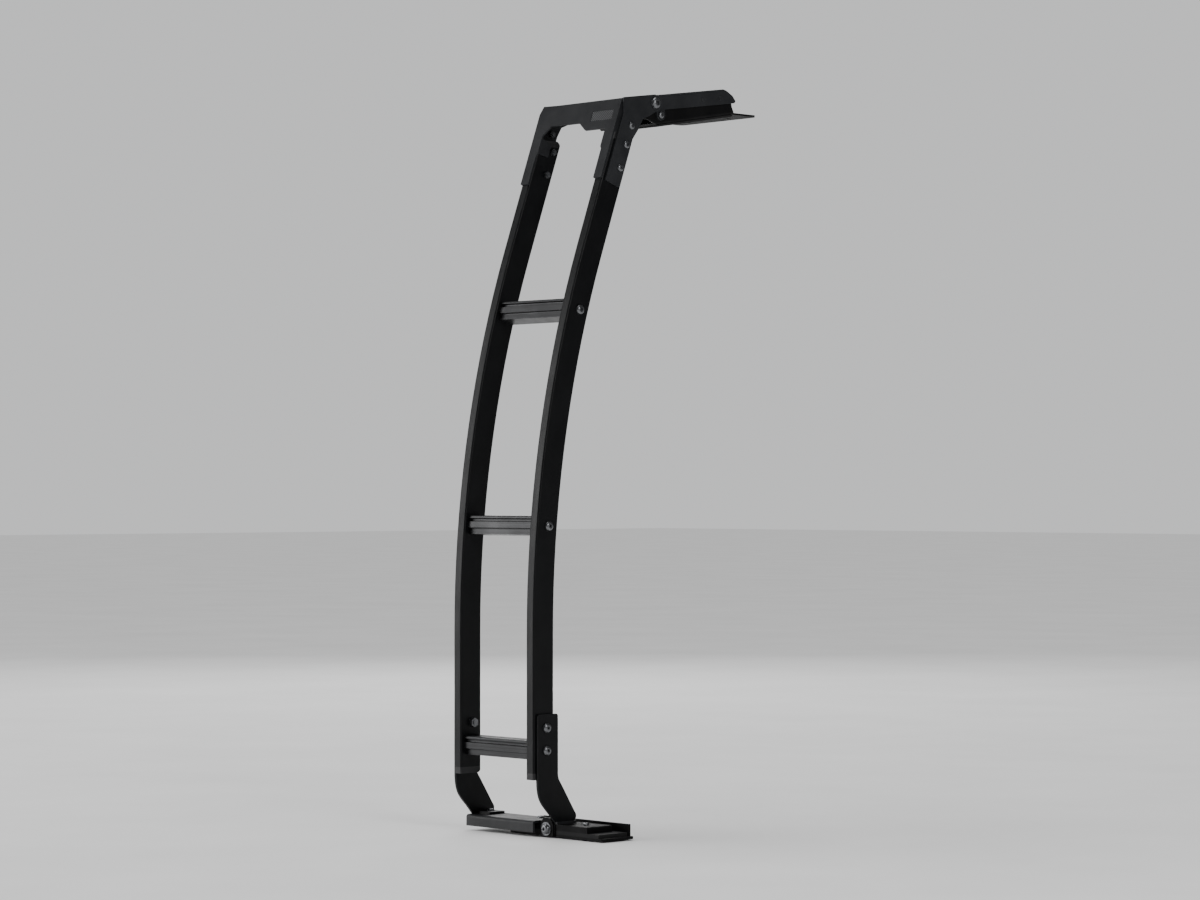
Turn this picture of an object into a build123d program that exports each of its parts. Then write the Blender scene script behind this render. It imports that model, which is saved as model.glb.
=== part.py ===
from build123d import *
from math import cos, degrees, radians, sin
import os

# Rear ladder for a vehicle's tailgate. Millimetres, +X to the right seen from behind the
# vehicle, +Y forward towards the tailgate, +Z up. The origin is on the underside of the lower
# hook plate, on the ladder's centre plane.

# Side rails: rectangular tube, upright below and leaning forward above.
HALF_WIDTH = 92.5
RAIL_WIDTH = 17.5
RAIL_DEPTH = 42.0
RAIL_WALL = 2.0
RAIL_EDGE_RADIUS = 3.0
RAIL_REAR_Y = -60.0
RAIL_LOW_Z = 89.0
RAIL_HIGH_Z = 1089.0
BEND_START_Z = 312.0
BEND_RADIUS = 1750.0
LEAN = 20.0
INNER_X = HALF_WIDTH - RAIL_WIDTH

# End caps of the rails, within the rails' overall length.
CAP_HEIGHT = 10.0
CAP_RADIUS = 9.0
CAP_PLUG = 3.5
PLUG_CLEARANCE = 0.15

# Rungs, at equal steps along the rails.
RUNG_FIRST_Z = 133.5
RUNG_STEP = 345.0
RUNG_DEPTH = 33.0
RUNG_HEIGHT = 29.0
RUNG_INSET = 7.0
RUNG_NOSE = 9.5
RUNG_GROOVE = 5.5
RUNG_GROOVE_DEPTH = 4.0
RUNG_WALL = 2.4
TREAD_GROOVES = 5
TREAD_GROOVE_WIDTH = 2.2
TREAD_GROOVE_DEPTH = 1.2

# Sheet parts.
SHEET = 3.0
BEND_OUTER = 5.0
BEND_INNER = BEND_OUTER - SHEET

# Top frame, measured up the leaning face from the end of the rails' bend.
FRAME_TOP = 246.0
HEADER_LOW_LEFT = 211.0
HEADER_LOW_RIGHT = 197.0
FRAME_LEG_LOW = 112.0
FRAME_LEG_INNER_X = 72.0
CORNER_CUT_WIDTH = 4.5
CORNER_CUT_HEIGHT = 12.0
RETURN_DEPTH = 42.0
BADGE_CENTRE_X = 57.0
BADGE_CENTRE_S = 220.0
BADGE_WIDTH = 48.0
BADGE_HEIGHT = 18.0
BADGE_RECESS = 1.2
BADGE_GAP = 0.6

# Gussets: screws and the arm's tip, where the large bolt holds the tray.
GUSSET_REAR = 6.0
GUSSET_FRONT = 37.0
SCREW_DEPTH = 28.2
SCREW_RISES = (213.0, 180.6, 141.2)
TRAY_BOLT = (196.6, 1140.6)
ARM_TIP_RADIUS = 13.5

# Tray that reaches forward over the roof, measured along its own slope.
TRAY_SLOPE = 8.1
TRAY_Y = 202.0
TRAY_Z = 1154.2
TRAY_REAR = -70.0
FLANGE_REAR = -26.0
TRAY_FRONT = 156.0
TRAY_NOSE = 179.0
TRAY_DEEP = 24.0
EAR_ALONG = 6.5
EAR_DOWN = 32.0
EAR_RADIUS = 9.0
RIVETS_ALONG = (105.0, 145.0)
RIVET_DOWN = 14.0

# Foot under the tray, which lies on the roof and reaches into the gap ahead of the tailgate.
FOOT_SLOPE = 9.8
FOOT_Y = 208.0
FOOT_Z = 1107.5
FOOT_LENGTH = 176.0
FOOT_HALF_WIDTH = HALF_WIDTH - SHEET
FOOT_HEEL = 45.0
FOOT_LEFT_START = 82.0
TONGUE_LENGTH = 57.0
TONGUE_HALF_WIDTH = 86.0
TONGUE_HOLE_X = 45.0
TONGUE_HOLE_Y = 415.0
TONGUE_HOLE_RADIUS = 3.3
PAD_THICKNESS = 3.0

# Legs.
LEG_THICKNESS = 4.0
LEG_TOP_Z = 189.0
LEG_BOLT_RISE = 34.6
LEG_TAB_INNER_X = 62.0
LEG_TAB_REAR_Y = -12.0
LEG_TAB_FRONT_Y = 20.0
TAB_SCREW_X = 79.0
TAB_SCREW_Y = 6.0

# Lower bracket: folded angle across both legs, and the clamp stack under it.
REACH = HALF_WIDTH + LEG_THICKNESS
ANGLE_THICKNESS = 4.0
ANGLE_TOP_Z = 23.0
ANGLE_LOW_Z = 5.0
ANGLE_REAR_Y = -30.0
ANGLE_FRONT_Y = 26.0
ANGLE_WEB_RIGHT_X = 58.0
STACK_REAR_Y = -15.0
HOOK_THICKNESS = 4.0
HOOK_LEFT_X = -12.0
HOOK_RIGHT_X = 197.0
HOOK_FRONT_Y = 52.0
HOOK_LIP_HEIGHT = 22.0
LUG_CENTRE_X = 77.0
LUG_HALF_WIDTH = 14.0
LUG_TOP_Z = 29.0
LUG_BOLT_Z = 11.5
HOOK_PAD_TOP_Z = 9.5
HOOK_PAD_LEFT_X = -2.0
HOOK_PAD_RIGHT_X = 188.0
HOOK_PAD_FRONT_Y = 46.0
CLAMP_TOP_Z = ANGLE_TOP_Z - ANGLE_THICKNESS
CLAMP_LEFT_X = 8.0
CLAMP_RIGHT_X = 163.0
CLAMP_FRONT_Y = 38.0
NOTCH_LEFT_X = 60.0
NOTCH_RIGHT_X = 94.0
NOTCH_FRONT_Y = 16.0
CLAMP_SCREWS_X = (30.0, 130.0)
CLAMP_SCREW_Y = 13.0

# Fasteners.
M6 = 3.0
M8 = 4.0
CLEARANCE = 0.3
THREAD_GAP = 0.08
WASHER_THICKNESS = 1.6
SIDES = (-1, 1)


def rail_line(depth, low_z, top_z):
    """Edges of the rail's side view at a depth in from its rear face, from bottom to top."""
    radius = BEND_RADIUS - depth
    centre = Vector(RAIL_REAR_Y + BEND_RADIUS, BEND_START_Z)
    start = Vector(RAIL_REAR_Y + depth, BEND_START_Z)
    half = radians(LEAN / 2)
    full = radians(LEAN)
    middle = centre + Vector(-radius * cos(half), radius * sin(half))
    end = centre + Vector(-radius * cos(full), radius * sin(full))
    run = (top_z - end.Y) / cos(full)
    top = end + Vector(run * sin(full), run * cos(full))
    below = Vector(start.X, low_z)
    return [Line(below, start), ThreePointArc(start, middle, end), Line(end, top)]


def side_outline(rear_depth, front_depth, low_z, top_z):
    """Face in the side view between two depths of the rail."""
    rear = rail_line(rear_depth, low_z, top_z)
    front = rail_line(front_depth, low_z, top_z)
    foot = Line(rear[0] @ 0, front[0] @ 0)
    head = Line(rear[2] @ 1, front[2] @ 1)
    return make_face(rear + front + [foot, head])


def side_solid(face, low_x, high_x):
    """Side-view face stretched across X."""
    return extrude(Plane.YZ.offset(low_x) * face, amount=high_x - low_x)


def at_top(depth, rise):
    """Side-view point on the rails' straight upper part: in from the rear face, up the lean."""
    lean = radians(LEAN)
    bend_end = Vector(BEND_RADIUS * (1 - cos(lean)), BEND_RADIUS * sin(lean))
    base = Vector(RAIL_REAR_Y, BEND_START_Z) + bend_end
    up = Vector(sin(lean), cos(lean))
    inward = Vector(cos(lean), -sin(lean))
    return base + up * rise + inward * depth


def at_tray(along, down):
    """Side-view point on the tray: along its slope, and square down from its top."""
    slope = radians(TRAY_SLOPE)
    ahead = Vector(cos(slope), sin(slope))
    below = Vector(sin(slope), -cos(slope))
    return Vector(TRAY_Y, TRAY_Z) + ahead * along + below * down


def at_foot(along, up):
    """Side-view point on the roof foot: along its slope, and square up from its underside."""
    slope = radians(FOOT_SLOPE)
    ahead = Vector(cos(slope), sin(slope))
    above = Vector(-sin(slope), cos(slope))
    return Vector(FOOT_Y, FOOT_Z) + ahead * along + above * up


def frame_placed(part):
    """Move a part from the leaning face's own axes (up its slope +Z) into the model."""
    base = at_top(0.0, 0.0)
    return Pos(0, base.X, base.Y) * Rot(X=-LEAN) * part


def foot_placed(part):
    """Move a part from the foot's own axes (along +Y, up +Z) into the model."""
    return Pos(0, FOOT_Y, FOOT_Z) * Rot(X=FOOT_SLOPE) * part


def polygon(points, radius=0.0):
    """Flat face through points, with all of its corners rounded if a radius is given."""
    face = make_face(Polyline(*points, close=True))
    if radius:
        face = fillet(face.vertices(), radius)
    return face


def block(low_x, high_x, low_y, high_y, low_z, high_z):
    """Box between two opposite corners."""
    size = (high_x - low_x, high_y - low_y, high_z - low_z)
    centre = ((high_x + low_x) / 2, (high_y + low_y) / 2, (high_z + low_z) / 2)
    return Pos(*centre) * Box(*size)


def rod_x(y, z, radius, low_x=60.0, high_x=110.0):
    """Round bar along X."""
    return side_solid(Pos(y, z) * Circle(radius), low_x, high_x)


def rod_z(x, y, radius):
    """Upright round bar through the lower bracket."""
    return Pos(x, y, 0) * Cylinder(radius, 120)


def mirror_x(part):
    """The part's other-hand copy."""
    return mirror(part, about=Plane.YZ)


def button_screw(shank_radius, length, head_radius, head_height):
    """Socket button screw along +Z with the head's underside at the origin, shank down."""
    crown = head_radius * 0.55
    rim = Vector(head_radius, head_height * 0.25)
    shoulder = Vector((head_radius + crown) * 0.53, head_height * 0.78)
    outline = [
        Line((0, -length), (shank_radius, -length)),
        Line((shank_radius, -length), (shank_radius, 0)),
        Line((shank_radius, 0), (head_radius, 0)),
        Line((head_radius, 0), rim),
        ThreePointArc(rim, shoulder, (crown, head_height)),
        Line((crown, head_height), (0, head_height)),
        Line((0, head_height), (0, -length)),
    ]
    screw = revolve(Plane.XZ * make_face(outline), axis=Axis.Z)
    socket = Pos(0, 0, head_height) * RegularPolygon(shank_radius * 0.72, 6)
    return screw - extrude(socket, amount=-head_height * 0.6)


def hex_nut(bore_radius, height):
    """Plain hexagon nut from the origin down."""
    nut = extrude(RegularPolygon(bore_radius * 1.88, 6), amount=-height)
    return nut - Cylinder(bore_radius + THREAD_GAP, height * 3)


def washer(bore_radius, outer_radius):
    """Flat ring standing on the origin."""
    return extrude(Circle(outer_radius) - Circle(bore_radius), amount=WASHER_THICKNESS)


def rivet(radius, grip):
    """Blind rivet along +Z with its head's underside at the origin, set end down."""
    head = Cylinder(radius * 2, 1.2, align=(Align.CENTER, Align.CENTER, Align.MIN))
    head = fillet(head.edges().sort_by(Axis.Z)[-1], 0.9)
    shank = Pos(0, 0, -grip / 2) * Cylinder(radius, grip)
    tail = Pos(0, 0, -grip - 2.5) * Cylinder(radius * 1.5, 5.0)
    return head + shank + tail


def place_x(part, x, y, z, side):
    """Stand a part that points along +Z on a plane of X, pointing away from the centre plane."""
    return Pos(side * x, y, z) * Rot(Y=90 * side) * part


def rung_stations():
    """Side-view centre and lean in degrees of each rung, at equal steps along the rails."""
    depth = RUNG_INSET + RUNG_DEPTH / 2
    radius = BEND_RADIUS - depth
    stations = []
    for index in range(3):
        travel = RUNG_FIRST_Z + index * RUNG_STEP - BEND_START_Z
        turn = max(0.0, travel / BEND_RADIUS)
        y = RAIL_REAR_Y + BEND_RADIUS - radius * cos(turn)
        z = BEND_START_Z + min(travel, 0.0) + radius * sin(turn)
        stations.append((y, z, degrees(turn)))
    return stations


def screw_points():
    """Side-view places of the three screws that hold each gusset."""
    return [at_top(SCREW_DEPTH, rise) for rise in SCREW_RISES]


def leg_bolt_points():
    """Side-view places of each leg's two bolts; the lower one also holds the lower rung."""
    y, z, _ = rung_stations()[0]
    return [Vector(y, z + LEG_BOLT_RISE), Vector(y, z)]


def make_bar():
    """Solid bar with the outside shape of the right-hand rail and both of its caps."""
    outline = side_outline(0, RAIL_DEPTH, RAIL_LOW_Z, RAIL_HIGH_Z)
    bar = side_solid(outline, INNER_X, HALF_WIDTH)
    long_edges = [edge for edge in bar.edges() if edge.length > 150]
    return fillet(long_edges, RAIL_EDGE_RADIUS)


def make_rail(bar):
    """Right-hand rail, cut from the bar between its caps."""
    tube = bar & block(60, 110, -100, 300, RAIL_LOW_Z + CAP_HEIGHT, RAIL_HIGH_Z - CAP_HEIGHT)
    inner = side_outline(RAIL_WALL, RAIL_DEPTH - RAIL_WALL, RAIL_LOW_Z - 5, RAIL_HIGH_Z + 5)
    tube -= side_solid(inner, INNER_X + RAIL_WALL, HALF_WIDTH - RAIL_WALL)
    for point in screw_points()[1:]:
        tube -= rod_x(point.X, point.Y, M6 + CLEARANCE)
    for y, z, _ in rung_stations():
        tube -= rod_x(y, z, M8 + CLEARANCE)
    upper = leg_bolt_points()[0]
    return tube - rod_x(upper.X, upper.Y, M8 + CLEARANCE)


def make_cap(bar, corner, inward, inner_z, outer_z):
    """Right-hand cap at one end of the rail, with its front corner rounded, and its plug."""
    back = Vector(-RAIL_DEPTH - 20.0, 0.0)
    side = polygon([corner, corner + inward * 60.0, corner + inward * 60.0 + back, corner + back])
    corner_vertex = side.vertices().sort_by_distance(corner)[0]
    side = fillet(corner_vertex, CAP_RADIUS)
    cap = bar & block(60, 110, -100, 300, *sorted((inner_z, outer_z)))
    cap &= side_solid(side, 60, 110)
    inset = RAIL_WALL + PLUG_CLEARANCE
    core = side_outline(inset, RAIL_DEPTH - inset, RAIL_LOW_Z, RAIL_HIGH_Z)
    plug = side_solid(core, INNER_X + inset, HALF_WIDTH - inset)
    way = 1.0 if outer_z > inner_z else -1.0
    plug &= block(60, 110, -100, 300, *sorted((inner_z - way * CAP_PLUG, inner_z + way)))
    return cap + plug


def make_caps(bar):
    """Right-hand lower and upper caps."""
    front = rail_line(RAIL_DEPTH, RAIL_LOW_Z, RAIL_HIGH_Z)
    lean = radians(LEAN)
    lower_in = Vector(0.0, 1.0)
    upper_in = Vector(-sin(lean), -cos(lean))
    return [
        make_cap(bar, front[0] @ 0, lower_in, RAIL_LOW_Z + CAP_HEIGHT, RAIL_LOW_Z),
        make_cap(bar, front[2] @ 1, upper_in, RAIL_HIGH_Z - CAP_HEIGHT, RAIL_HIGH_Z),
    ]


def rung_section():
    """Extruded rung: grooved tread, a rib along front and rear, a set-back base, a screw port."""
    body = RectangleRounded(RUNG_DEPTH, RUNG_HEIGHT, 2.4)
    groove_z = (RUNG_NOSE + RUNG_GROOVE) / 2
    groove = RectangleRounded(RUNG_GROOVE_DEPTH * 2, RUNG_GROOVE, 1.8)
    set_back_z = -(RUNG_NOSE + RUNG_HEIGHT) / 2
    set_back = RectangleRounded(RUNG_GROOVE_DEPTH * 2, RUNG_HEIGHT, 1.8)
    for side in SIDES:
        body -= Pos(side * RUNG_DEPTH / 2, groove_z) * groove
        body -= Pos(side * RUNG_DEPTH / 2, set_back_z) * set_back
    pitch = (RUNG_DEPTH - 7.0) / TREAD_GROOVES
    for index in range(TREAD_GROOVES):
        y = (index - (TREAD_GROOVES - 1) / 2) * pitch
        body -= Pos(y, RUNG_HEIGHT / 2) * Rectangle(TREAD_GROOVE_WIDTH, TREAD_GROOVE_DEPTH * 2)
    room_y = RUNG_DEPTH - 2 * (RUNG_GROOVE_DEPTH + RUNG_WALL)
    room_z = RUNG_HEIGHT - 2 * (TREAD_GROOVE_DEPTH + RUNG_WALL)
    room = RectangleRounded(room_y, room_z, 1.5)
    room -= Circle(M8 + 2.6)
    room -= Rectangle(RUNG_WALL, RUNG_HEIGHT)
    return body - room - Circle(M8 + THREAD_GAP)


def make_rungs():
    """The three rungs, each between the rails' inner faces."""
    section = rung_section()
    rungs = []
    for y, z, lean in rung_stations():
        rungs.append(side_solid(Pos(y, z) * Rot(Z=-lean) * section, -INNER_X, INNER_X))
    return rungs


def make_gusset():
    """Right-hand gusset: plate outside the rail with an arm that reaches to the tray."""
    bolt = Vector(*TRAY_BOLT)
    step = at_top(GUSSET_REAR, 224.0)
    run = (step.X - TRAY_Y) / cos(radians(TRAY_SLOPE))
    top_rear = at_tray(run, -0.8)
    outline = polygon(
        [
            at_top(GUSSET_REAR, 111.0),
            step,
            top_rear,
            at_tray(-7.3, -0.8),
            bolt + Vector(5.0, -12.0),
            bolt + Vector(-12.0, -21.0),
            bolt + Vector(-26.0, -26.5),
            at_top(44.0, 214.0),
            at_top(GUSSET_FRONT, 192.0),
            at_top(GUSSET_FRONT, 111.0),
        ],
        2.5,
    )
    outline += Pos(bolt.X, bolt.Y) * Circle(ARM_TIP_RADIUS)
    plate = side_solid(outline, HALF_WIDTH, HALF_WIDTH + SHEET)
    for point in screw_points():
        plate -= rod_x(point.X, point.Y, M6 + CLEARANCE)
    return plate - rod_x(bolt.X, bolt.Y, M8 + CLEARANCE)


def corner_clearance():
    """Room beside the header's cut corner, swept forward and outward at 45 degrees."""
    cut_low = FRAME_TOP - CORNER_CUT_HEIGHT
    cut_inner_x = -HALF_WIDTH + CORNER_CUT_WIDTH
    outside = polygon(
        [
            Vector(-HALF_WIDTH, cut_low),
            Vector(cut_inner_x, FRAME_TOP),
            Vector(cut_inner_x, FRAME_TOP + 40.0),
            Vector(-HALF_WIDTH - 50.0, FRAME_TOP + 40.0),
            Vector(-HALF_WIDTH - 50.0, cut_low),
        ]
    )
    return extrude(frame_placed(Plane.XZ.offset(SHEET) * outside), amount=40.0, dir=(-1, 1, 0))


def make_top_frame():
    """Face plate on the rails' rear faces, with a header, two legs, tabs and side returns."""
    low = FRAME_LEG_LOW
    edge = FRAME_LEG_INNER_X
    face = polygon(
        [
            Vector(-HALF_WIDTH, low),
            Vector(-HALF_WIDTH, FRAME_TOP - CORNER_CUT_HEIGHT),
            Vector(-HALF_WIDTH + CORNER_CUT_WIDTH, FRAME_TOP),
            Vector(HALF_WIDTH, FRAME_TOP),
            Vector(HALF_WIDTH, low),
            Vector(edge + 3.0, low),
            Vector(edge + 3.0, low + 50.0),
            Vector(edge, low + 54.0),
            Vector(edge, HEADER_LOW_RIGHT),
            Vector(26.0, HEADER_LOW_RIGHT),
            Vector(8.0, HEADER_LOW_LEFT),
            Vector(15.0 - edge, HEADER_LOW_LEFT),
            Vector(-edge, HEADER_LOW_LEFT - 14.0),
            Vector(-edge, low + 54.0),
            Vector(-edge - 3.0, low + 50.0),
            Vector(-edge - 3.0, low),
        ],
        1.8,
    )
    body = frame_placed(extrude(Plane.XZ * face, amount=SHEET))
    recess = RectangleRounded(BADGE_WIDTH, BADGE_HEIGHT, 2.0)
    recess = Plane.XZ.offset(SHEET) * Pos(BADGE_CENTRE_X, BADGE_CENTRE_S) * recess
    body -= frame_placed(extrude(recess, amount=-BADGE_RECESS))
    side_return = polygon(
        [
            at_top(-1.0, 185.0),
            at_top(RETURN_DEPTH, 200.0),
            at_top(RETURN_DEPTH, 262.0),
            at_top(-1.0, FRAME_TOP - CORNER_CUT_HEIGHT / 2),
        ],
    )
    tab = polygon([at_top(-1.0, 166.0), at_top(20.0, 168.0), at_top(20.0, 190.0), at_top(-1.0, 192.0)])
    beside_rail = block(-110, 110, 0, 300, RAIL_HIGH_Z - 40, RAIL_HIGH_Z)
    for side in SIDES:
        outer = sorted((side * FOOT_HALF_WIDTH, side * HALF_WIDTH))
        inner = sorted((side * edge, side * INNER_X))
        body += side_solid(side_return, *outer) - corner_clearance() - beside_rail
        body += side_solid(tab, *inner)
    point = screw_points()[0]
    return body - rod_x(point.X, point.Y, M6 + CLEARANCE, -110, 110)


def make_badge():
    """Blank plate let into the header."""
    plate = RectangleRounded(BADGE_WIDTH - 2 * BADGE_GAP, BADGE_HEIGHT - 2 * BADGE_GAP, 1.6)
    plate = Plane.XZ.offset(SHEET - BADGE_RECESS) * Pos(BADGE_CENTRE_X, BADGE_CENTRE_S) * plate
    return frame_placed(extrude(plate, amount=0.9))


def make_tray():
    """Folded tray: top plate and two side flanges; the right flange has an ear for the foot."""
    width = 2 * HALF_WIDTH
    outer = Pos(0, -40) * Rectangle(width, 80)
    outer = fillet(outer.vertices().sort_by(Axis.Y)[-2:], BEND_OUTER)
    inner = Pos(0, -40 - SHEET) * Rectangle(width - 2 * SHEET, 80)
    inner = fillet(inner.vertices().sort_by(Axis.Y)[-2:], BEND_INNER)
    length = TRAY_NOSE - TRAY_REAR
    body = extrude(Plane.XZ.offset(-TRAY_REAR) * (outer - inner), amount=-length)
    body = Pos(0, TRAY_Y, TRAY_Z) * Rot(X=TRAY_SLOPE) * body
    outline = polygon(
        [
            at_tray(TRAY_REAR, 0.0),
            at_tray(TRAY_FRONT, 0.0),
            at_tray(TRAY_NOSE - 6.0, 12.0),
            at_tray(TRAY_NOSE, TRAY_DEEP - 3.0),
            at_tray(TRAY_NOSE - 3.0, TRAY_DEEP),
            at_tray(FLANGE_REAR, TRAY_DEEP),
            at_tray(FLANGE_REAR, SHEET),
            at_tray(TRAY_REAR, SHEET),
        ]
    )
    centre = at_tray(EAR_ALONG, EAR_DOWN)
    root = polygon(
        [
            at_tray(EAR_ALONG - EAR_RADIUS, TRAY_DEEP - 1),
            at_tray(EAR_ALONG + EAR_RADIUS, TRAY_DEEP - 1),
            at_tray(EAR_ALONG + EAR_RADIUS, EAR_DOWN),
            at_tray(EAR_ALONG - EAR_RADIUS, EAR_DOWN),
        ]
    )
    ear = root + Pos(centre.X, centre.Y) * Circle(EAR_RADIUS)
    body &= side_solid(outline, -110, 110) + side_solid(ear, FOOT_HALF_WIDTH, 110)
    body -= rod_x(*TRAY_BOLT, M8 + CLEARANCE, -110, 110)
    return body - ear_bolt_hole() - rivet_holes() - corner_clearance()


def ear_bolt_hole():
    """Bar through the place of the bolt that joins the foot's heel to the tray's ear."""
    centre = at_tray(EAR_ALONG, EAR_DOWN)
    return rod_x(centre.X, centre.Y, M6 + CLEARANCE)


def rivet_holes():
    """Bars through the places of the rivets that join the tray and the foot."""
    holes = []
    for along in RIVETS_ALONG:
        point = at_tray(along, RIVET_DOWN)
        holes.append(rod_x(point.X, point.Y, 2.1, -110, 110))
    return holes[0] + holes[1]


def foot_plan(inset, rear):
    """Plan of the foot from a rear end; the rear left corner is left away."""
    half = FOOT_HALF_WIDTH - inset
    front = FOOT_LENGTH - inset
    return polygon(
        [
            Vector(half, rear),
            Vector(half, front),
            Vector(-half, front),
            Vector(-half, FOOT_LEFT_START + inset),
            Vector(-12.0, rear),
        ]
    )


def make_tongue():
    """Level plate ahead of the foot, with two holes."""
    root = at_foot(FOOT_LENGTH, 0.0)
    half = TONGUE_HALF_WIDTH
    tongue = block(-half, half, root.X - 2, root.X + TONGUE_LENGTH, root.Y, root.Y + SHEET)
    tips = tongue.edges().filter_by(Axis.Z).sort_by(Axis.Y)[-2:]
    tongue = fillet(tips, 8.0)
    for side in SIDES:
        hole = Pos(side * TONGUE_HOLE_X, TONGUE_HOLE_Y, root.Y) * Cylinder(TONGUE_HOLE_RADIUS, 20)
        tongue -= hole
    return tongue


def make_foot():
    """Saddle between tray and roof: plate, two upstands, and a tongue ahead."""
    width = 2 * FOOT_HALF_WIDTH
    outer = Pos(0, 40) * Rectangle(width, 80)
    outer = fillet(outer.vertices().sort_by(Axis.Y)[:2], BEND_OUTER)
    inner = Pos(0, 40 + SHEET) * Rectangle(width - 2 * SHEET, 80)
    inner = fillet(inner.vertices().sort_by(Axis.Y)[:2], BEND_INNER)
    body = extrude(Plane.XZ.offset(FOOT_HEEL) * (outer - inner), amount=-FOOT_LENGTH - FOOT_HEEL)
    body &= extrude(foot_plan(0.0, -FOOT_HEEL), amount=90)
    body = foot_placed(body)
    ceiling = BEND_OUTER + 0.5
    outline = polygon(
        [
            at_foot(0.0, 0.0),
            at_foot(FOOT_LENGTH, 0.0),
            at_foot(FOOT_LENGTH, SHEET),
            at_foot(FOOT_LENGTH - 3.0, 12.0),
            at_tray(171.0, ceiling + 9.0),
            at_tray(155.0, ceiling),
            at_tray(3.0, ceiling),
            at_tray(3.0, 25.0),
            at_tray(-34.0, 30.0),
            at_tray(-34.0, 34.0),
            at_tray(-21.0, 37.0),
        ]
    )
    body &= side_solid(outline, -110, 110)
    return body + make_tongue() - ear_bolt_hole() - rivet_holes()


def make_foot_pad():
    """Rubber under the foot's plate."""
    return foot_placed(extrude(foot_plan(2.0, 3.0), amount=-PAD_THICKNESS))


def make_leg():
    """Right-hand leg: plate outside the rail that bends forward, with a tab folded inward."""
    rear = RAIL_REAR_Y + 5.0
    front = RAIL_REAR_Y + 47.0
    low = ANGLE_TOP_Z
    corner = 4.0
    outline = make_face(
        [
            Line((rear + corner, LEG_TOP_Z), (front - corner, LEG_TOP_Z)),
            RadiusArc((front - corner, LEG_TOP_Z), (front, LEG_TOP_Z - corner), corner),
            Line((front, LEG_TOP_Z - corner), (front, 98.0)),
            Spline((front, 98.0), (-6.0, 80.5), (3.8, 65.5), tangents=((0, -1), (0.54, -0.84))),
            Line((3.8, 65.5), (22.8, 36.0)),
            ThreePointArc((22.8, 36.0), (25.0, 28.5), (20.0, low)),
            Line((20.0, low), (-19.0, low)),
            Line((-19.0, low), (-26.2, 31.0)),
            Spline((-26.2, 31.0), (-47.4, 55.0), (rear, 92.0), tangents=((-0.62, 0.79), (0, 1))),
            Line((rear, 92.0), (rear, LEG_TOP_Z - corner)),
            RadiusArc((rear, LEG_TOP_Z - corner), (rear + corner, LEG_TOP_Z), corner),
        ]
    )
    leg = side_solid(outline, HALF_WIDTH, REACH)
    leg += block(LEG_TAB_INNER_X, REACH, LEG_TAB_REAR_Y, LEG_TAB_FRONT_Y, low, low + LEG_THICKNESS)
    leg -= rod_z(TAB_SCREW_X, TAB_SCREW_Y, M6 + CLEARANCE)
    for point in leg_bolt_points():
        leg -= rod_x(point.X, point.Y, M8 + CLEARANCE)
    return leg


def lug_bolt_hole():
    """Bar along Y through the place of the lug's bolt."""
    return Pos(LUG_CENTRE_X, 0, LUG_BOLT_Z) * Rot(X=90) * Cylinder(M8 + CLEARANCE, 120)


def clamp_screw_holes(radius):
    """Upright bars through the places of the clamp's two screws."""
    holes = [rod_z(x, CLAMP_SCREW_Y, radius) for x in CLAMP_SCREWS_X]
    return holes[0] + holes[1]


def make_angle():
    """Folded angle under both legs, with a tab turned down behind the lug."""
    under = ANGLE_TOP_Z - ANGLE_THICKNESS
    web_front = ANGLE_REAR_Y + ANGLE_THICKNESS
    section = polygon(
        [
            Vector(ANGLE_REAR_Y, ANGLE_LOW_Z),
            Vector(ANGLE_REAR_Y, ANGLE_TOP_Z),
            Vector(ANGLE_FRONT_Y, ANGLE_TOP_Z),
            Vector(ANGLE_FRONT_Y, under),
            Vector(web_front, under),
            Vector(web_front, ANGLE_LOW_Z),
        ]
    )
    bend = section.vertices().sort_by(Axis.X)[:2].sort_by(Axis.Y)[-1]
    section = fillet(bend, BEND_OUTER)
    angle = side_solid(section, -REACH, ANGLE_WEB_RIGHT_X)
    angle += block(ANGLE_WEB_RIGHT_X, REACH, STACK_REAR_Y, ANGLE_FRONT_Y, under, ANGLE_TOP_Z)
    tab_left = LUG_CENTRE_X - LUG_HALF_WIDTH
    tab_right = LUG_CENTRE_X + LUG_HALF_WIDTH
    tab_front = STACK_REAR_Y + ANGLE_THICKNESS
    angle += block(tab_left, tab_right, STACK_REAR_Y, tab_front, ANGLE_LOW_Z, under)
    for side in SIDES:
        angle -= rod_z(side * TAB_SCREW_X, TAB_SCREW_Y, M6 + CLEARANCE)
    return angle - lug_bolt_hole() - rod_z(CLAMP_SCREWS_X[0], CLAMP_SCREW_Y, M6 + CLEARANCE)


def make_hook_plate():
    """Plate under the tailgate's edge, with a lug turned up behind and a lip ahead."""
    length = HOOK_RIGHT_X - HOOK_LEFT_X
    middle = (HOOK_RIGHT_X + HOOK_LEFT_X) / 2
    run = HOOK_FRONT_Y - STACK_REAR_Y
    flat = Pos(middle, STACK_REAR_Y + run / 2) * RectangleRounded(length, run, 4.0)
    plate = extrude(flat, amount=HOOK_THICKNESS)
    lip_rear = HOOK_FRONT_Y - HOOK_THICKNESS
    plate += block(HOOK_LEFT_X + 8, HOOK_RIGHT_X - 8, lip_rear, HOOK_FRONT_Y, 0, HOOK_LIP_HEIGHT)
    lug_height = LUG_TOP_Z - LUG_HALF_WIDTH
    lug = Pos(LUG_CENTRE_X, lug_height / 2) * Rectangle(2 * LUG_HALF_WIDTH, lug_height)
    lug += Pos(LUG_CENTRE_X, lug_height) * Circle(LUG_HALF_WIDTH)
    plate += extrude(Plane.XZ.offset(-STACK_REAR_Y) * lug, amount=HOOK_THICKNESS)
    return plate - lug_bolt_hole() - clamp_screw_holes(M6 + THREAD_GAP)


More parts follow.
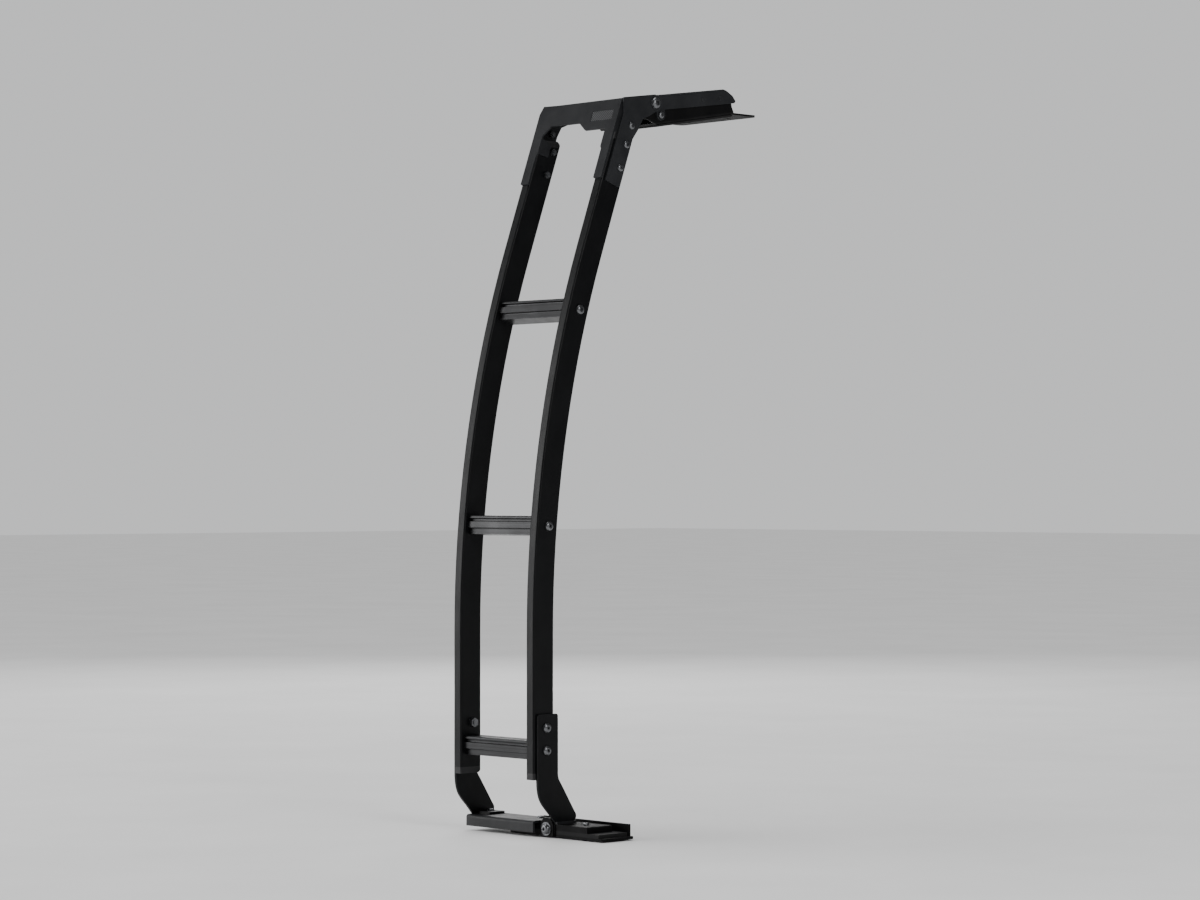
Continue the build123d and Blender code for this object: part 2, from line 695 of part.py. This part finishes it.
def clamp_notch():
    """Room in the clamp stack for the nuts behind the lug."""
    return block(NOTCH_LEFT_X, NOTCH_RIGHT_X, STACK_REAR_Y - 1, NOTCH_FRONT_Y, HOOK_THICKNESS, 40)


def make_hook_pad():
    """Rubber between the hook plate and the clamp bar."""
    pad = block(
        HOOK_PAD_LEFT_X,
        HOOK_PAD_RIGHT_X,
        STACK_REAR_Y,
        HOOK_PAD_FRONT_Y,
        HOOK_THICKNESS,
        HOOK_PAD_TOP_Z,
    )
    return pad - clamp_notch() - clamp_screw_holes(M6 + CLEARANCE)


def make_clamp_bar():
    """Bar between the rubber and the angle."""
    bar = block(CLAMP_LEFT_X, CLAMP_RIGHT_X, STACK_REAR_Y, CLAMP_FRONT_Y, HOOK_PAD_TOP_Z, CLAMP_TOP_Z)
    bar = chamfer(bar.edges().filter_by(Axis.Y).group_by(Axis.Z)[-1], 1.5)
    return bar - clamp_notch() - clamp_screw_holes(M6 + CLEARANCE)


def rail_fasteners():
    """Screws and nuts of rungs, legs and gussets, by node name."""
    gusset_x = HALF_WIDTH + SHEET
    rung_screw = button_screw(M8, RAIL_WIDTH + 20, 7.5, 4.4)
    lower_screw = button_screw(M8, LEG_THICKNESS + RAIL_WIDTH + 20, 7.5, 4.4)
    leg_bolt = button_screw(M8, LEG_THICKNESS + RAIL_WIDTH + 8, 7.5, 4.4)
    long_screw = button_screw(M6, SHEET + RAIL_WIDTH + 6.5, 6.0, 3.4)
    short_screw = button_screw(M6, 2 * SHEET + 6.5, 6.0, 3.4)
    first, second, third = screw_points()
    upper, lower = leg_bolt_points()
    nodes = {}
    for side in SIDES:
        for y, z, _ in rung_stations()[1:]:
            add(nodes, "rung_screws", place_x(rung_screw, HALF_WIDTH, y, z, side))
        add(nodes, "lower_rung_screws", place_x(lower_screw, REACH, lower.X, lower.Y, side))
        add(nodes, "leg_bolts", place_x(leg_bolt, REACH, upper.X, upper.Y, side))
        add(nodes, "leg_nuts", place_x(hex_nut(M8, 6.5), INNER_X, upper.X, upper.Y, side))
        add(nodes, "frame_screws", place_x(short_screw, gusset_x, first.X, first.Y, side))
        add(nodes, "frame_nuts", place_x(hex_nut(M6, 5.0), FOOT_HALF_WIDTH, first.X, first.Y, side))
        for point in (second, third):
            add(nodes, "gusset_screws", place_x(long_screw, gusset_x, point.X, point.Y, side))
            add(nodes, "gusset_nuts", place_x(hex_nut(M6, 5.0), INNER_X, point.X, point.Y, side))
    return nodes


def roof_fasteners():
    """Bolts, washers, nuts and rivets of the tray and the foot, by node name."""
    gusset_x = HALF_WIDTH + SHEET
    y, z = TRAY_BOLT
    bolt = button_screw(M8, WASHER_THICKNESS + 2 * SHEET + 8, 8.5, 5.0)
    nodes = {}
    for side in SIDES:
        add(nodes, "tray_bolts", place_x(bolt, gusset_x + WASHER_THICKNESS, y, z, side))
        add(nodes, "tray_washers", place_x(washer(M8 + CLEARANCE, 9.5), gusset_x, y, z, side))
        add(nodes, "tray_nuts", place_x(hex_nut(M8, 6.5), FOOT_HALF_WIDTH, y, z, side))
        for along in RIVETS_ALONG:
            point = at_tray(along, RIVET_DOWN)
            add(nodes, "foot_rivets", place_x(rivet(2.0, 2 * SHEET), HALF_WIDTH, point.X, point.Y, side))
    ear = at_tray(EAR_ALONG, EAR_DOWN)
    ear_bolt = button_screw(M6, 2 * SHEET + 6.5, 5.6, 3.2)
    add(nodes, "ear_bolt", place_x(ear_bolt, HALF_WIDTH, ear.X, ear.Y, 1))
    add(nodes, "ear_nut", place_x(hex_nut(M6, 5.0), FOOT_HALF_WIDTH - SHEET, ear.X, ear.Y, 1))
    return nodes


def bracket_fasteners():
    """Screws, bolt, washer and nuts of the lower bracket, by node name."""
    under = ANGLE_TOP_Z - ANGLE_THICKNESS
    tab_top = ANGLE_TOP_Z + LEG_THICKNESS
    tab_screw = button_screw(M6, LEG_THICKNESS + ANGLE_THICKNESS + 6.0, 6.0, 3.4)
    nodes = {}
    for side in SIDES:
        x = side * TAB_SCREW_X
        add(nodes, "tab_screws", Pos(x, TAB_SCREW_Y, tab_top) * tab_screw)
        add(nodes, "tab_nuts", Pos(x, TAB_SCREW_Y, under) * hex_nut(M6, 5.0))
    left_x, right_x = CLAMP_SCREWS_X
    left_screw = button_screw(M6, ANGLE_TOP_Z - 0.5, 6.0, 3.4)
    right_screw = button_screw(M6, CLAMP_TOP_Z - 0.5, 6.0, 3.4)
    add(nodes, "clamp_screw_left", Pos(left_x, CLAMP_SCREW_Y, ANGLE_TOP_Z) * left_screw)
    add(nodes, "clamp_screw_right", Pos(right_x, CLAMP_SCREW_Y, CLAMP_TOP_Z) * right_screw)
    rear = STACK_REAR_Y - HOOK_THICKNESS
    nut_y = STACK_REAR_Y + ANGLE_THICKNESS
    turn = Rot(X=90)
    bolt = button_screw(M8, WASHER_THICKNESS + HOOK_THICKNESS + ANGLE_THICKNESS + 8, 8.0, 5.0)
    bolt_at = Pos(LUG_CENTRE_X, rear - WASHER_THICKNESS, LUG_BOLT_Z)
    add(nodes, "lug_bolt", bolt_at * turn * bolt)
    add(nodes, "lug_washer", Pos(LUG_CENTRE_X, rear, LUG_BOLT_Z) * turn * washer(M8 + CLEARANCE, 10.5))
    add(nodes, "lug_nut", Pos(LUG_CENTRE_X, nut_y, LUG_BOLT_Z) * turn * hex_nut(M8, 6.5))
    return nodes


def add(nodes, name, solid):
    """Add a solid to a node's list."""
    nodes.setdefault(name, []).append(solid)


def save(name, solids):
    """Write one node's file."""
    shape = solids[0] if len(solids) == 1 else Compound(children=solids)
    export_step(shape, os.path.join("parts", name + ".step"))


def main():
    os.makedirs("parts", exist_ok=True)
    bar = make_bar()
    caps = make_caps(bar)
    handed = {"rail": make_rail(bar), "gusset": make_gusset(), "leg": make_leg()}
    nodes = {
        "rail_caps": caps + [mirror_x(cap) for cap in caps],
        "top_frame": [make_top_frame()],
        "badge_plate": [make_badge()],
        "roof_tray": [make_tray()],
        "roof_foot": [make_foot()],
        "roof_pad": [make_foot_pad()],
        "lower_angle": [make_angle()],
        "hook_plate": [make_hook_plate()],
        "hook_pad": [make_hook_pad()],
        "clamp_bar": [make_clamp_bar()],
    }
    for name, part in handed.items():
        nodes[name + "_right"] = [part]
        nodes[name + "_left"] = [mirror_x(part)]
    nodes["gusset_left"] = [mirror_x(handed["gusset"]) - corner_clearance()]
    for name, rung in zip(("rung_lower", "rung_middle", "rung_upper"), make_rungs()):
        nodes[name] = [rung]
    nodes.update(rail_fasteners())
    nodes.update(roof_fasteners())
    nodes.update(bracket_fasteners())
    for name, solids in nodes.items():
        save(name, solids)


main()
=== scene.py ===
import math

import bpy
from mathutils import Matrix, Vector


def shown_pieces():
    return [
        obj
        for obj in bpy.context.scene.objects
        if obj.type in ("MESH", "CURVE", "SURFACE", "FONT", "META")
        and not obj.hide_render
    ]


# Rear ladder on a plain pale floor. Metres, +X right, +Y towards the tailgate, +Z up.

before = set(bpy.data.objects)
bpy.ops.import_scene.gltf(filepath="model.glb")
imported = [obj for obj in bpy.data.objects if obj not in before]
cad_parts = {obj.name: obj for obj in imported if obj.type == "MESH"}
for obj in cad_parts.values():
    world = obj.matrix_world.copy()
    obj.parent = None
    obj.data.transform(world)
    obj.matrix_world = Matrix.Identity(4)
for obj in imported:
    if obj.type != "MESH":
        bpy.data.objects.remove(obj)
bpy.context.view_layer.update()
nodes = {o.name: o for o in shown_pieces()}

# Most of a noise texture's factor lies between these two values.
NOISE_LOW = 0.3
NOISE_HIGH = 0.7

# Powder coat.
PEEL_DEPTH = 0.0005
SPECK_DEPTH = 0.00012
GRAIN = 0.5
RUBBED_GAIN = 2.2
RUBBED_LIFT = 0.012

# Rubbed edges: how far the rounding reaches, and how far the rounded normal has turned from
# the true one where the rubbing starts and where it is full.
RUB_REACH = 0.0014
RUB_AMOUNT = 0.75
RUB_SAMPLES = 4
RUB_STARTS = 0.995
RUB_FULL = 0.86

# Fine relief of the other finishes.
LINE_DEPTH = 0.0001
PIT_DEPTH = 0.0002
SPARK_DEPTH = 0.00015

# The photographer's place, and the lens.
EYE = Vector((3.833, -3.490, 0.530))
AIM = Vector((0.045, 0.125, 0.530))
LENS_MM = 100.0
SENSOR_MM = 36.0
SHIFT_Y = 0.034

# Soft rectangular lights: name, place, what each points at, size, watts.
LAMPS = [
    ("rear_left", (-3.4, -3.6, 1.5), (0.0, 0.0, 0.6), (2.8, 3.2), 170.0),
    ("front_left", (-3.4, 3.0, 2.6), (0.0, 0.1, 0.6), (2.2, 2.2), 70.0),
    ("right_key", (4.6, -0.9, 2.6), (0.0, 0.1, 0.7), (1.6, 1.6), 90.0),
]
CEILING_DIRECTION = Vector((0.30, 0.16, -1.0))
CEILING_ENERGY = 2.4
CEILING_SPREAD = math.radians(50.0)

# The room looks pale to the camera and throws a weaker, even light on the object.
ROOM_COLOUR = (0.86, 0.87, 0.88, 1.0)
ROOM_STRENGTH = 0.10
BACKDROP_COLOUR = (0.90, 0.905, 0.91, 1.0)
BACKDROP_STRENGTH = 0.80

FLOOR_SIZE = 60.0
FLOOR_Z = -0.002


def new_material(name):
    """Empty node material: (material, nodes, links, shader)."""
    material = bpy.data.materials.new(name)
    material.use_nodes = True
    tree = material.node_tree
    return material, tree.nodes, tree.links, tree.nodes["Principled BSDF"]


def noise(nodes, links, scale, detail=3.0, roughness=0.55, stretch=(1.0, 1.0, 1.0)):
    """Noise texture over the object's own coordinates; returns its factor socket."""
    place = nodes.new("ShaderNodeTexCoord")
    scaled = nodes.new("ShaderNodeMapping")
    scaled.inputs["Scale"].default_value = stretch
    texture = nodes.new("ShaderNodeTexNoise")
    texture.inputs["Scale"].default_value = scale
    texture.inputs["Detail"].default_value = detail
    texture.inputs["Roughness"].default_value = roughness
    links.new(place.outputs["Object"], scaled.inputs["Vector"])
    links.new(scaled.outputs["Vector"], texture.inputs["Vector"])
    return texture.outputs["Fac"]


def ramp(nodes, links, source, start, dark, end, light):
    """Colour that goes from dark to light while a factor goes from start to end."""
    node = nodes.new("ShaderNodeValToRGB")
    first, last = node.color_ramp.elements
    first.position, first.color = start, (*dark, 1.0)
    last.position, last.color = end, (*light, 1.0)
    links.new(source, node.inputs["Fac"])
    return node.outputs["Color"]


def spread(nodes, links, source, low, high):
    """Map a noise factor onto a range."""
    node = nodes.new("ShaderNodeMapRange")
    node.inputs["From Min"].default_value = NOISE_LOW
    node.inputs["From Max"].default_value = NOISE_HIGH
    node.inputs["To Min"].default_value = low
    node.inputs["To Max"].default_value = high
    links.new(source, node.inputs["Value"])
    return node.outputs["Result"]


def bump(nodes, links, shader, layers):
    """Chain of bump nodes; layers are (height socket, strength, distance)."""
    last = None
    for height, strength, distance in layers:
        node = nodes.new("ShaderNodeBump")
        node.inputs["Strength"].default_value = strength
        node.inputs["Distance"].default_value = distance
        links.new(height, node.inputs["Height"])
        if last:
            links.new(last, node.inputs["Normal"])
        last = node.outputs["Normal"]
    links.new(last, shader.inputs["Normal"])


def worn_edges(nodes, links):
    """Mask of rubbed edges: where a rounded normal leaves the true one, broken up by noise."""
    rounded = nodes.new("ShaderNodeBevel")
    rounded.samples = RUB_SAMPLES
    rounded.inputs["Radius"].default_value = RUB_REACH
    surface = nodes.new("ShaderNodeNewGeometry")
    agreement = nodes.new("ShaderNodeVectorMath")
    agreement.operation = "DOT_PRODUCT"
    links.new(rounded.outputs["Normal"], agreement.inputs[0])
    links.new(surface.outputs["Normal"], agreement.inputs[1])
    edge = nodes.new("ShaderNodeMapRange")
    edge.inputs["From Min"].default_value = RUB_STARTS
    edge.inputs["From Max"].default_value = RUB_FULL
    links.new(agreement.outputs["Value"], edge.inputs["Value"])
    patches = noise(nodes, links, scale=130.0, detail=5.0, roughness=0.7)
    rub = nodes.new("ShaderNodeMath")
    rub.operation = "MULTIPLY"
    links.new(edge.outputs["Result"], rub.inputs[0])
    links.new(spread(nodes, links, patches, 0.0, RUB_AMOUNT), rub.inputs[1])
    return rub.outputs["Value"]


def blend(nodes, links, mask, under, over):
    """Colour that goes from a socket to a fixed colour along a mask."""
    mix = nodes.new("ShaderNodeMix")
    mix.data_type = "RGBA"
    links.new(mask, mix.inputs["Factor"])
    links.new(under, mix.inputs["A"])
    mix.inputs["B"].default_value = (*over, 1.0)
    return mix.outputs["Result"]


def coat(name, dark, light, rough, specular):
    """Powder coat: orange peel, slow cloudiness, faint wipe marks and rubbed edges."""
    material, nodes, links, shader = new_material(name)
    cloud = noise(nodes, links, scale=22.0, detail=5.0, roughness=0.6)
    peel = noise(nodes, links, scale=650.0, detail=2.0)
    speck = noise(nodes, links, scale=2200.0, detail=1.0)
    wipe = noise(nodes, links, scale=55.0, detail=5.0, roughness=0.65, stretch=(1.0, 1.0, 0.2))
    rubbed = tuple(value * RUBBED_GAIN + RUBBED_LIFT for value in light)
    tone = ramp(nodes, links, cloud, 0.32, dark, 0.68, light)
    tone = blend(nodes, links, worn_edges(nodes, links), tone, rubbed)
    links.new(tone, shader.inputs["Base Color"])
    links.new(spread(nodes, links, wipe, *rough), shader.inputs["Roughness"])
    shader.inputs["Specular IOR Level"].default_value = specular
    bump(nodes, links, shader, [(peel, GRAIN, PEEL_DEPTH), (speck, GRAIN * 0.5, SPECK_DEPTH)])
    return material


def anodised(name, dark, light, rough):
    """Black anodised extrusion: fine draw lines along X, the profile's length."""
    material, nodes, links, shader = new_material(name)
    lines = noise(nodes, links, scale=1.0, roughness=0.6, stretch=(6.0, 900.0, 900.0))
    cloud = noise(nodes, links, scale=25.0)
    tone = ramp(nodes, links, lines, 0.35, dark, 0.65, light)
    links.new(tone, shader.inputs["Base Color"])
    links.new(spread(nodes, links, cloud, *rough), shader.inputs["Roughness"])
    shader.inputs["Metallic"].default_value = 0.55
    bump(nodes, links, shader, [(lines, 0.25, LINE_DEPTH)])
    return material


def etched(name, dark, light, rough):
    """Dark anodised plate with a plain etched hatch of slanting lines."""
    material, nodes, links, shader = new_material(name)
    place = nodes.new("ShaderNodeTexCoord")
    hatch = nodes.new("ShaderNodeTexWave")
    hatch.bands_direction = "DIAGONAL"
    hatch.inputs["Scale"].default_value = 150.0
    hatch.inputs["Distortion"].default_value = 0.0
    links.new(place.outputs["Object"], hatch.inputs["Vector"])
    cloud = noise(nodes, links, scale=300.0)
    tone = ramp(nodes, links, hatch.outputs["Fac"], 0.45, dark, 0.6, light)
    links.new(tone, shader.inputs["Base Color"])
    links.new(spread(nodes, links, cloud, *rough), shader.inputs["Roughness"])
    shader.inputs["Metallic"].default_value = 0.5
    bump(nodes, links, shader, [(hatch.outputs["Fac"], 0.4, LINE_DEPTH)])
    return material


def rubber(name, dark, light, rough):
    """Moulded rubber: matt, with fine pitting and paler dusty patches."""
    material, nodes, links, shader = new_material(name)
    pits = noise(nodes, links, scale=1400.0, detail=2.0)
    dust = noise(nodes, links, scale=45.0, detail=5.0, roughness=0.7)
    tone = ramp(nodes, links, dust, 0.35, dark, 0.75, light)
    links.new(tone, shader.inputs["Base Color"])
    links.new(spread(nodes, links, dust, *rough), shader.inputs["Roughness"])
    shader.inputs["Specular IOR Level"].default_value = 0.25
    bump(nodes, links, shader, [(pits, 0.5, PIT_DEPTH)])
    return material


def plastic(name, dark, light, rough):
    """Textured black plastic with a spark-eroded grain."""
    material, nodes, links, shader = new_material(name)
    place = nodes.new("ShaderNodeTexCoord")
    cells = nodes.new("ShaderNodeTexVoronoi")
    cells.inputs["Scale"].default_value = 1500.0
    links.new(place.outputs["Object"], cells.inputs["Vector"])
    cloud = noise(nodes, links, scale=120.0)
    tone = ramp(nodes, links, cloud, 0.3, dark, 0.7, light)
    links.new(tone, shader.inputs["Base Color"])
    links.new(spread(nodes, links, cloud, *rough), shader.inputs["Roughness"])
    shader.inputs["Specular IOR Level"].default_value = 0.35
    bump(nodes, links, shader, [(cells.outputs["Distance"], 0.3, SPARK_DEPTH)])
    return material


def zinc(name, dark, light, rough):
    """Zinc-plated steel: cloudy tone and a fine grain."""
    material, nodes, links, shader = new_material(name)
    cloud = noise(nodes, links, scale=260.0, detail=4.0, roughness=0.6)
    marks = noise(nodes, links, scale=1800.0, detail=2.0)
    tone = ramp(nodes, links, cloud, 0.3, dark, 0.7, light)
    links.new(tone, shader.inputs["Base Color"])
    links.new(spread(nodes, links, cloud, *rough), shader.inputs["Roughness"])
    shader.inputs["Metallic"].default_value = 0.9
    bump(nodes, links, shader, [(marks, 0.3, LINE_DEPTH)])
    return material


def floor_paint(dark, light):
    """Pale, faintly mottled studio floor."""
    material, nodes, links, shader = new_material("floor_paint")
    cloud = noise(nodes, links, scale=2.5)
    tone = ramp(nodes, links, cloud, 0.3, dark, 0.7, light)
    links.new(tone, shader.inputs["Base Color"])
    shader.inputs["Roughness"].default_value = 0.9
    shader.inputs["Specular IOR Level"].default_value = 0.1
    return material


def dress(node, material):
    """Give a CAD node its material and smooth shading along its own normals."""
    node.data.materials.clear()
    node.data.materials.append(material)
    for polygon in node.data.polygons:
        polygon.use_smooth = True


def put(name, data, at, direction):
    """Place a camera or a light in the scene, looking along a direction."""
    made = bpy.data.objects.new(name, data)
    made.location = at
    made.rotation_mode = "QUATERNION"
    made.rotation_quaternion = Vector(direction).to_track_quat("-Z", "Y")
    bpy.context.scene.collection.objects.link(made)
    return made


# Finishes.

# Painted light: one black powder coat in several tones, one per group of parts, copying how
# bright each group looked. The gussets, tray and rivets get a painted lighter tone for the
# light they catch. The top frame gets a middle tone. The rails and legs get a painted darker
# tone for their shaded sides.
black = coat(
    "satin_coat",
    dark=(0.013, 0.0137, 0.0155),
    light=(0.024, 0.0250, 0.0272),
    rough=(0.48, 0.60),
    specular=0.17,
)
frame_black = coat(
    "frame_coat",
    dark=(0.0100, 0.0105, 0.0120),
    light=(0.0187, 0.0195, 0.0213),
    rough=(0.48, 0.60),
    specular=0.155,
)
rail_black = coat(
    "rail_coat",
    dark=(0.0016, 0.0018, 0.0023),
    light=(0.0040, 0.0043, 0.0049),
    rough=(0.34, 0.46),
    specular=0.17,
)
# Painted shade: a near-black copy of the coat for the roof foot, hook plate and clamp bar. It
# stands in for the shade these parts lie in under the tray and the tailgate.
shade_painted_matt = coat(
    "matt_coat",
    dark=(0.0016, 0.0016, 0.0019),
    light=(0.0045, 0.0045, 0.0048),
    rough=(0.54, 0.68),
    specular=0.12,
)
# Painted light: the lower angle gets the lit tone of the black coat, with more specular, for a
# bar facing the light.
painted_lit_grey = coat(
    "grey_coat",
    dark=(0.012, 0.0125, 0.0138),
    light=(0.023, 0.0235, 0.0250),
    rough=(0.40, 0.54),
    specular=0.24,
)
rung = anodised(
    "rung_anodised",
    dark=(0.008, 0.0083, 0.0092),
    light=(0.021, 0.0214, 0.023),
    rough=(0.30, 0.44),
)
badge = etched(
    "badge_etched",
    dark=(0.018, 0.0184, 0.0195),
    light=(0.095, 0.0965, 0.101),
    rough=(0.32, 0.46),
)
pad_rubber = rubber(
    "pad_rubber",
    dark=(0.008, 0.008, 0.009),
    light=(0.022, 0.022, 0.021),
    rough=(0.72, 0.9),
)
cap_plastic = plastic(
    "cap_plastic",
    dark=(0.010, 0.010, 0.011),
    light=(0.017, 0.017, 0.018),
    rough=(0.42, 0.58),
)
steel = zinc(
    "dark_zinc",
    dark=(0.105, 0.108, 0.115),
    light=(0.215, 0.219, 0.228),
    rough=(0.24, 0.38),
)

# Screws, nuts and washers are all steel.
finishes = {
    "rail_right": rail_black,
    "rail_left": rail_black,
    "top_frame": frame_black,
    "gusset_right": black,
    "gusset_left": black,
    "roof_tray": black,
    "foot_rivets": black,
    "leg_right": rail_black,
    "leg_left": rail_black,
    # Roof foot, hook plate and clamp bar take the painted-shade coat.
    "roof_foot": shade_painted_matt,
    "hook_plate": shade_painted_matt,
    "clamp_bar": shade_painted_matt,
    "lower_angle": painted_lit_grey,
    "rung_lower": rung,
    "rung_middle": rung,
    "rung_upper": rung,
    "badge_plate": badge,
    "roof_pad": pad_rubber,
    "hook_pad": pad_rubber,
    "rail_caps": cap_plastic,
}
for name, node in nodes.items():
    dress(node, finishes.get(name, steel))

# Camera.

camera_data = bpy.data.cameras.new("camera")
camera_data.lens = LENS_MM
camera_data.sensor_width = SENSOR_MM
camera_data.shift_y = SHIFT_Y
bpy.context.scene.camera = put("camera", camera_data, EYE, AIM - EYE)

# Lights.

for name, at, towards, size, power in LAMPS:
    lamp = bpy.data.lights.new(name, "AREA")
    lamp.shape = "RECTANGLE"
    lamp.size, lamp.size_y = size
    lamp.energy = power
    put(name, lamp, at, Vector(towards) - Vector(at))

ceiling = bpy.data.lights.new("ceiling", "SUN")
ceiling.energy = CEILING_ENERGY
ceiling.angle = CEILING_SPREAD
put("ceiling", ceiling, (0.0, 0.0, 0.0), CEILING_DIRECTION)

# Room.

world = bpy.data.worlds.new("studio")
world.use_nodes = True
room = world.node_tree
room_light = room.nodes["Background"]
room_light.inputs["Color"].default_value = ROOM_COLOUR
room_light.inputs["Strength"].default_value = ROOM_STRENGTH
backdrop = room.nodes.new("ShaderNodeBackground")
backdrop.inputs["Color"].default_value = BACKDROP_COLOUR
backdrop.inputs["Strength"].default_value = BACKDROP_STRENGTH
rays = room.nodes.new("ShaderNodeLightPath")
choice = room.nodes.new("ShaderNodeMixShader")
room.links.new(rays.outputs["Is Camera Ray"], choice.inputs["Fac"])
room.links.new(room_light.outputs["Background"], choice.inputs[1])
room.links.new(backdrop.outputs["Background"], choice.inputs[2])
room.links.new(choice.outputs["Shader"], room.nodes["World Output"].inputs["Surface"])
bpy.context.scene.world = world

bpy.ops.mesh.primitive_plane_add(size=FLOOR_SIZE, location=(0.0, 0.0, FLOOR_Z))
floor = bpy.context.active_object
floor.name = "floor"
floor.data.materials.append(floor_paint(dark=(0.74, 0.74, 0.74), light=(0.79, 0.79, 0.79)))
